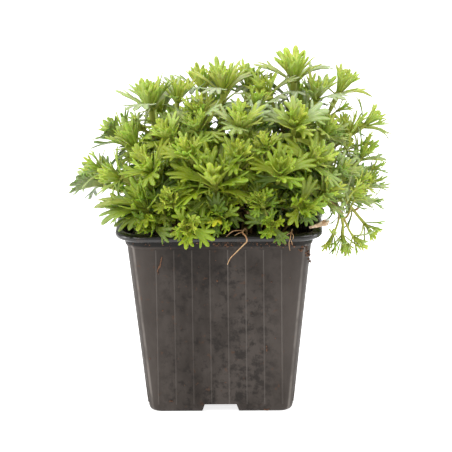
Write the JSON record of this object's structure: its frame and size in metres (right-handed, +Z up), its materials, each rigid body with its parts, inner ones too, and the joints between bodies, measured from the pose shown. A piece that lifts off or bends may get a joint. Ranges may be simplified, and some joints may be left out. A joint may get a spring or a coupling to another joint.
{
  "type": "potted mossy saxifrage",
  "caption": "Cushion of leafy stems that end in rosettes of finger-lobed leaves, growing in compost in a square ribbed plastic nursery pot with a drained base.",
  "frame": {"origin": "middle of the pot's underside, on the surface that it stands on", "axes": "+Z up through the plant, -Y out of the front side of the pot that the picture shows, +X to the right of that side"},
  "size_m": [0.1453, 0.1193, 0.1534],
  "materials": {
    "pot_plastic": "dark grey-brown, thin thermoformed plastic with a slight gloss on the rim",
    "compost": "dark moist peat compost, granular",
    "leaf": "yellow-green at the rosettes' hearts to deep green, slightly glossy",
    "dead_leaf": "dry, pinkish tan",
    "root": "fibrous, orange tan"
  },
  "bodies": {
    "root": {"back_1_1": "leaf", "back_1_2": "leaf", "back_1_3": "leaf", "back_1_4": "leaf", "back_1_5": "leaf", "back_2_1": "leaf", "back_2_2": "leaf", "back_2_3": "leaf", "back_2_4": "leaf", "back_3_1": "leaf", "back_3_2": "leaf", "back_3_3": "leaf", "back_4_1": "leaf", "back_4_2": "leaf", "big_front": "leaf", "dead_leaf": "dead_leaf", "far_left": "leaf", "foot_far_right": "leaf", "foot_left": "leaf", "foot_middle": "leaf", "foot_right": "leaf", "front_centre": "leaf", "front_high": "leaf", "front_left": "leaf", "front_right": "leaf", "front_small": "leaf", "high_right": "leaf", "left_foot": "leaf", "left_front": "leaf", "left_low": "leaf", "left_mid": "leaf", "low_right": "leaf", "mid_high_left": "leaf", "mid_left": "leaf", "mid_right": "leaf", "pot": "pot_plastic", "right_front": "leaf", "right_high": "leaf", "right_low": "leaf", "right_out": "leaf", "right_pair": "leaf", "right_side": "leaf", "root_long": "root", "root_short": "root", "soil": "compost", "top_far_right": "leaf", "top_left": "leaf", "top_middle": "leaf", "top_right": "leaf", "top_small": "leaf", "trailing_down": "leaf", "trailing_out": "leaf", "upper_centre": "leaf", "upper_left": "leaf", "upper_right": "leaf"}
  },
  "joints": []
}
